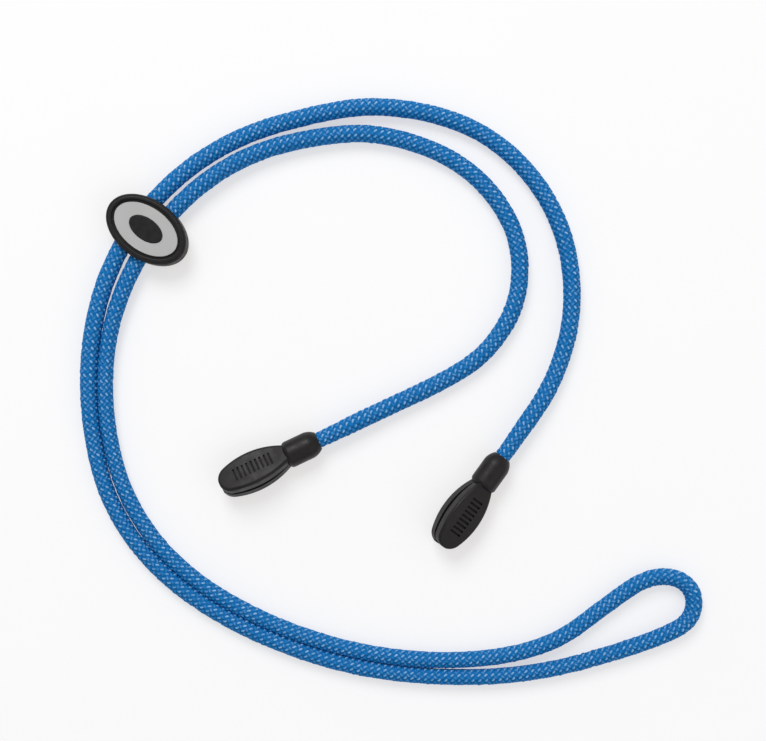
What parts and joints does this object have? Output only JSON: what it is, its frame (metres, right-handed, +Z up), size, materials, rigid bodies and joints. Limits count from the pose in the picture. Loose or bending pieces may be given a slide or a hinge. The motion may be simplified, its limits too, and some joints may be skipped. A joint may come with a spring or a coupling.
{
  "type": "eyeglasses strap",
  "caption": "Braided cord strap for eyeglasses, laid flat in a loop, with a moulded rubber grip on each end and an oval sliding keeper over both runs.",
  "frame": {"origin": "on the surface the strap lies on, below the middle of the box round the slider and the two grips", "axes": "+Z up from the surface; +X along the longest extent, towards the fold's side; +Y towards the top of the bow"},
  "size_m": [0.1463, 0.1383, 0.0085],
  "materials": {
    "cord_blue": "matt braided polyester",
    "cord_core": "undyed straight yarns",
    "grip_rubber": "satin moulded rubber",
    "ferrule_metal": "plain crimped sheet",
    "slider_black": "gloss",
    "inlay_grey": "satin grey"
  },
  "bodies": {
    "strap": {"cord_sheath": "cord_blue", "cord_core": "cord_core", "grip_left": "grip_rubber", "grip_right": "grip_rubber", "ferrule_left": "ferrule_metal", "ferrule_right": "ferrule_metal"},
    "slider": {"slider_base": "slider_black", "slider_cover": "slider_black", "slider_inlay": "inlay_grey"}
  },
  "joints": [
    {"name": "slider_travel", "type": "hinge", "parent": "strap", "child": "slider", "pos_m": [0.0133, -0.0034, 0], "axis": [0, 0, 1], "range_deg": [-12, 12]}
  ]
}
